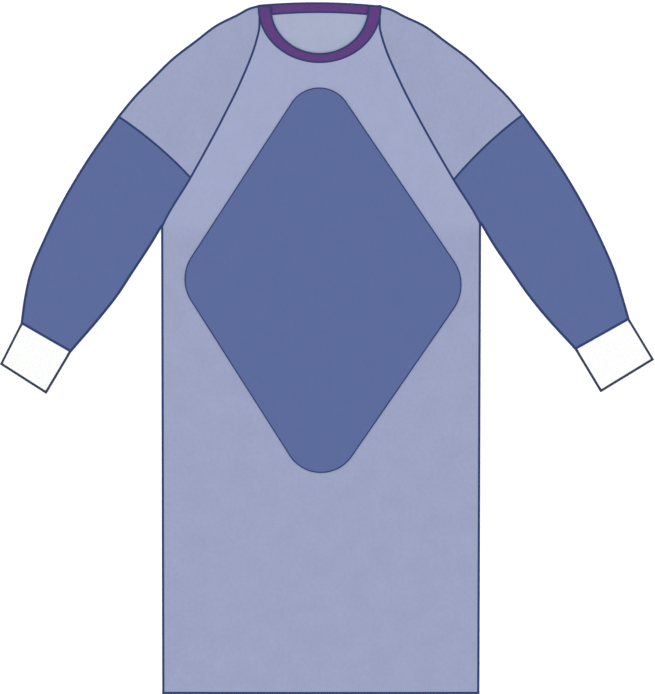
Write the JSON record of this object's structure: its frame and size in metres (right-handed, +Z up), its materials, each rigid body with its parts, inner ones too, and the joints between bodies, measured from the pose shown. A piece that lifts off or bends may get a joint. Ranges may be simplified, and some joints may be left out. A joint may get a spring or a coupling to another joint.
{
  "type": "surgical gown",
  "caption": "Long-sleeved reinforced surgical gown laid flat, with raglan sleeves, knit cuffs, a diamond chest panel, a bound round neck and an open lapped back",
  "frame": {"origin": "under the middle of the gown's box, on the surface that it lies on", "axes": "+Z up out of the surface, +Y towards the neck, -Y towards the hem, +X to the right of someone who looks down on the front with the neck at the top"},
  "size_m": [1.182, 1.25, 0.0057],
  "materials": {
    "nonwoven_light": "matte, pale lavender-blue bonded nonwoven",
    "nonwoven_reinforced": "matte, denim-blue reinforced nonwoven",
    "knit_white": "matte white rib knit",
    "binding_purple": "matte purple folded tape"
  },
  "bodies": {
    "root": {"front": "nonwoven_light", "back_left": "nonwoven_light", "back_right": "nonwoven_light", "sleeve_upper_left": "nonwoven_light", "sleeve_upper_right": "nonwoven_light", "sleeve_lower_left": "nonwoven_reinforced", "sleeve_lower_right": "nonwoven_reinforced", "cuff_left": "knit_white", "cuff_right": "knit_white", "chest_panel": "nonwoven_reinforced", "neck_binding_front": "binding_purple", "neck_binding_back_left": "binding_purple", "neck_binding_back_right": "binding_purple"}
  },
  "joints": []
}
